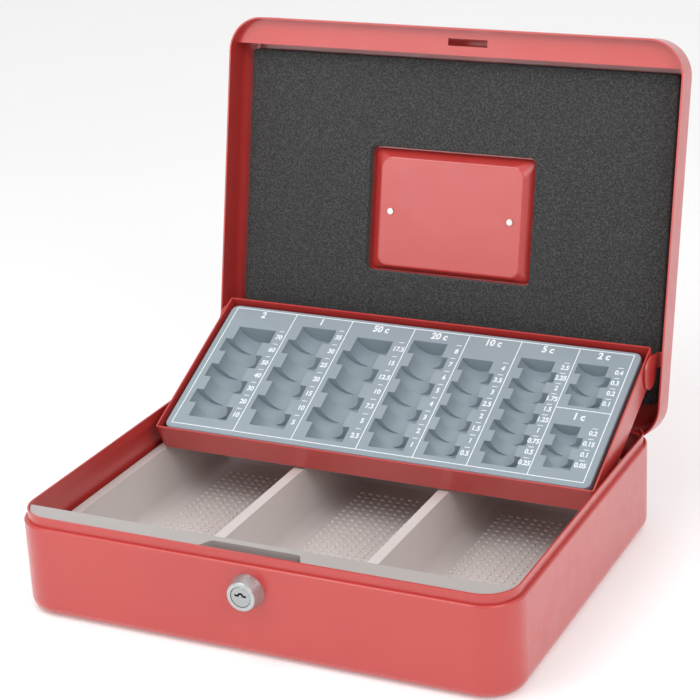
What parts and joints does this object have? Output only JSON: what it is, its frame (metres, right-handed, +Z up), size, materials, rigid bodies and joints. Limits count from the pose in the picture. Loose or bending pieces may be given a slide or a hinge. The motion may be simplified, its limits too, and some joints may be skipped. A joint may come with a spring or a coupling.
{
  "type": "cash box",
  "caption": "Steel cash box with a hinged lid, cam lock, folding bail handle, a moulded base insert with bays and a coin tray that lifts as the lid opens.",
  "frame": {"origin": "centre of the base shell's flat underside", "axes": "+X to the box's right seen from the front, +Y to the rear (hinge side), +Z up"},
  "size_m": [0.3, 0.3215, 0.2815],
  "materials": {
    "red_paint": "satin powder coat",
    "taupe_plastic": "fine matte, moulded",
    "blue_grey_plastic": "satin, moulded",
    "dark_foam": "open-cell foam, matte",
    "plated_steel": "bright zinc plating",
    "chrome": "polished"
  },
  "bodies": {
    "base": {"base_shell": "red_paint", "base_insert": "taupe_plastic", "hinge_leaf_base": "plated_steel", "hinge_pin": "plated_steel", "hinge_rivets_base": "plated_steel", "lock_barrel": "chrome", "lock_nut": "plated_steel", "lock_washer": "plated_steel"},
    "lid": {"lid_shell": "red_paint", "keeper_plate": "red_paint", "lid_foam": "dark_foam", "hinge_leaf_lid": "plated_steel", "hinge_rivets_lid": "plated_steel", "handle_posts": "plated_steel", "ear_left": "red_paint", "ear_right": "red_paint", "pivot_rivet_left": "red_paint", "pivot_rivet_right": "red_paint"},
    "tray": {"tray_shell": "red_paint", "coin_insert": "blue_grey_plastic", "pivot_washers": "plated_steel"},
    "handle": {"bail_handle": "chrome"},
    "lock": {"lock_plug": "chrome", "lock_cam": "plated_steel", "cam_screw": "plated_steel"}
  },
  "joints": [
    {"name": "lid_hinge", "type": "hinge", "parent": "base", "child": "lid", "pos_m": [0, 0.1166, 0.051], "axis": [1, 0, 0], "range_deg": [0, 102]},
    {"name": "tray_pivot", "type": "hinge", "parent": "lid", "child": "tray", "pos_m": [0, 0.12501, 0.09103], "axis": [1, 0, 0], "range_deg": [-127, 0]},
    {"name": "handle_pivot", "type": "hinge", "parent": "lid", "child": "handle", "pos_m": [0, 0.1683, 0.16198], "axis": [-1, 0, 0], "range_deg": [0, 180]},
    {"name": "lock_turn", "type": "hinge", "parent": "base", "child": "lock", "pos_m": [0, -0.12, 0.0402], "axis": [0, -1, 0], "range_deg": [0, 90]}
  ],
  "couplings": [
    {"joint": "tray_pivot", "follows": "lid_hinge", "ratio": -1.2451}
  ]
}
